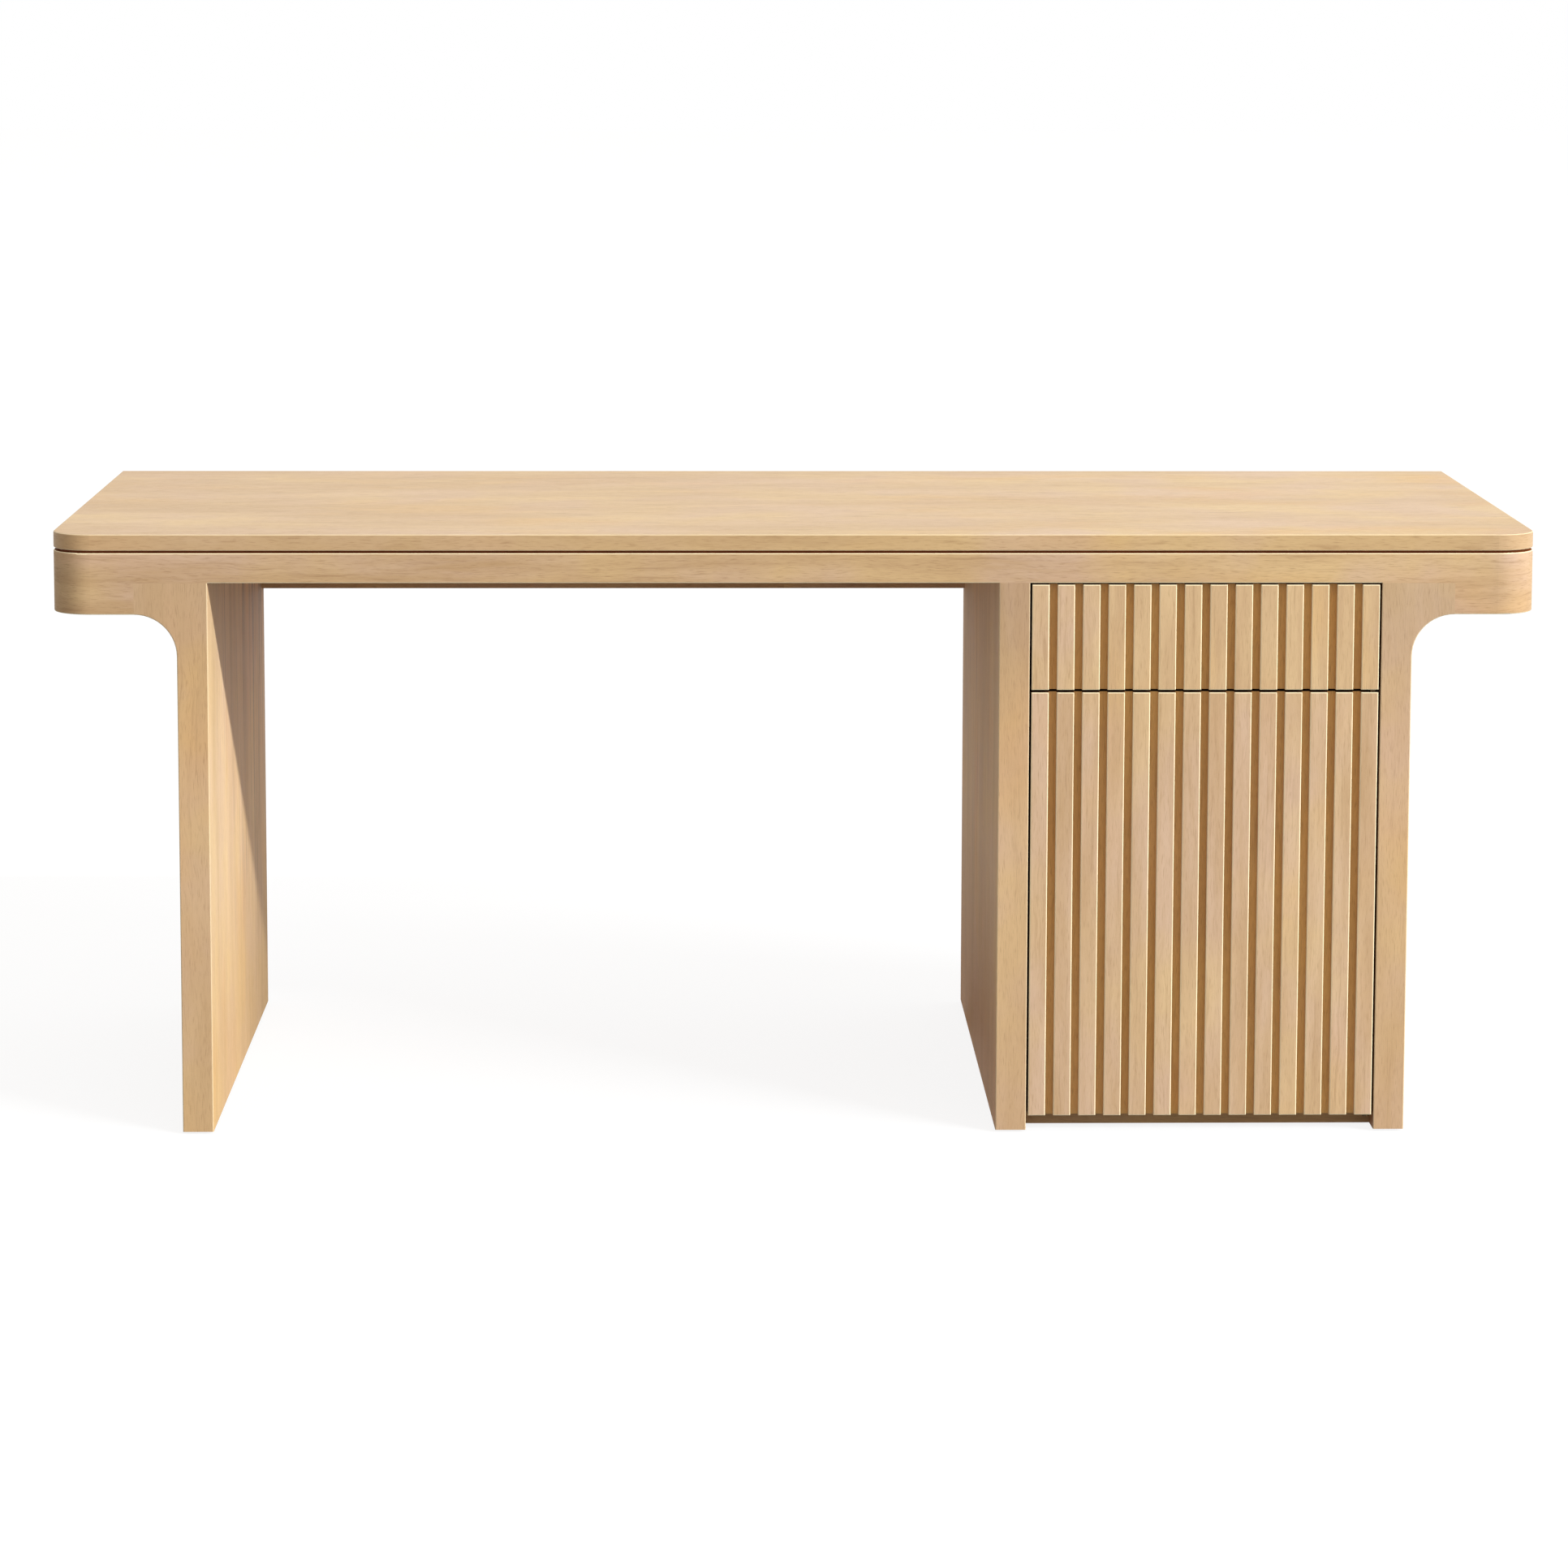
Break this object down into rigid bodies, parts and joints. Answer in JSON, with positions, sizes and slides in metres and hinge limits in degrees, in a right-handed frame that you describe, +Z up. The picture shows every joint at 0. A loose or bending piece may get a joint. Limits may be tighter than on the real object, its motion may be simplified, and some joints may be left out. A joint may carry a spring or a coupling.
{
  "type": "pedestal desk",
  "caption": "Oak pedestal desk with slab legs that sweep into thick rounded ends, and a slatted drawer and cupboard door under one side of the top.",
  "frame": {"origin": "on the floor, under the middle of the desk's overall box", "axes": "+X to the right along the desk's length, +Y to the back, +Z up; the drawer and door face -Y"},
  "size_m": [1.83, 0.76, 0.75],
  "materials": {
    "oak_veneer": "matt lacquered oak veneer",
    "oak_slat": "matt lacquered solid oak",
    "oak_backing": "matt lacquered oak veneer, a shade darker",
    "oak_lining": "matt oak veneer",
    "black_edge_band": "black edge band",
    "birch_plywood": "clear lacquered birch",
    "zinc_plated_steel": "zinc plated sheet",
    "bronzed_brass": "dark bronzed",
    "grey_plastic": "moulded",
    "white_plastic": "moulded",
    "black_nylon": "moulded"
  },
  "bodies": {
    "carcase": {"top_panel": "oak_veneer", "front_apron": "oak_veneer", "back_apron": "oak_veneer", "left_end_box": "oak_veneer", "right_end_box": "oak_veneer", "left_leg": "oak_veneer", "right_leg": "oak_veneer", "pedestal_inner_side": "oak_veneer", "shadow_gap_board": "black_edge_band", "pedestal_back": "oak_lining", "pedestal_bottom": "oak_lining", "drawer_divider": "oak_lining", "cabinet_shelf": "oak_lining", "shelf_pins": "zinc_plated_steel", "floor_glides": "black_nylon", "fixed_hinge_leaves": "bronzed_brass", "slide_outer_left": "zinc_plated_steel", "slide_outer_right": "zinc_plated_steel", "touch_latch_body": "grey_plastic"},
    "drawer": {"drawer_front_board": "oak_backing", "drawer_box_front": "birch_plywood", "drawer_side_left": "birch_plywood", "drawer_side_right": "birch_plywood", "drawer_back": "birch_plywood", "drawer_bottom": "birch_plywood", "slide_inner_left": "zinc_plated_steel", "slide_inner_right": "zinc_plated_steel", "drawer_slat_01": "oak_slat", "drawer_slat_02": "oak_slat", "drawer_slat_03": "oak_slat", "drawer_slat_04": "oak_slat", "drawer_slat_05": "oak_slat", "drawer_slat_06": "oak_slat", "drawer_slat_07": "oak_slat", "drawer_slat_08": "oak_slat", "drawer_slat_09": "oak_slat", "drawer_slat_10": "oak_slat", "drawer_slat_11": "oak_slat", "drawer_slat_12": "oak_slat", "drawer_slat_13": "oak_slat", "drawer_slat_14": "oak_slat"},
    "slide_middle": {"slide_middle_left": "zinc_plated_steel", "slide_middle_right": "zinc_plated_steel"},
    "door": {"door_board": "oak_backing", "door_hinge_leaves": "bronzed_brass", "door_slat_01": "oak_slat", "door_slat_02": "oak_slat", "door_slat_03": "oak_slat", "door_slat_04": "oak_slat", "door_slat_05": "oak_slat", "door_slat_06": "oak_slat", "door_slat_07": "oak_slat", "door_slat_08": "oak_slat", "door_slat_09": "oak_slat", "door_slat_10": "oak_slat", "door_slat_11": "oak_slat", "door_slat_12": "oak_slat", "door_slat_13": "oak_slat", "door_slat_14": "oak_slat"},
    "latch_plunger": {"touch_latch_plunger": "white_plastic"}
  },
  "joints": [
    {"name": "drawer_slide", "type": "slide", "parent": "carcase", "child": "drawer", "axis": [0, -1, 0], "range_m": [0, 0.5]},
    {"name": "slide_middle_travel", "type": "slide", "parent": "carcase", "child": "slide_middle", "axis": [0, -1, 0], "range_m": [0, 0.25]},
    {"name": "door_swing", "type": "hinge", "parent": "carcase", "child": "door", "pos_m": [0.713, -0.374, 0.2875], "axis": [0, 0, 1], "range_deg": [0, 100]},
    {"name": "latch_plunger_travel", "type": "slide", "parent": "carcase", "child": "latch_plunger", "axis": [0, -1, 0], "range_m": [0, 0.012]}
  ],
  "couplings": [
    {"joint": "slide_middle_travel", "follows": "drawer_slide", "ratio": 0.5},
    {"joint": "latch_plunger_travel", "follows": "door_swing", "m_per_rad": 0.00687}
  ]
}
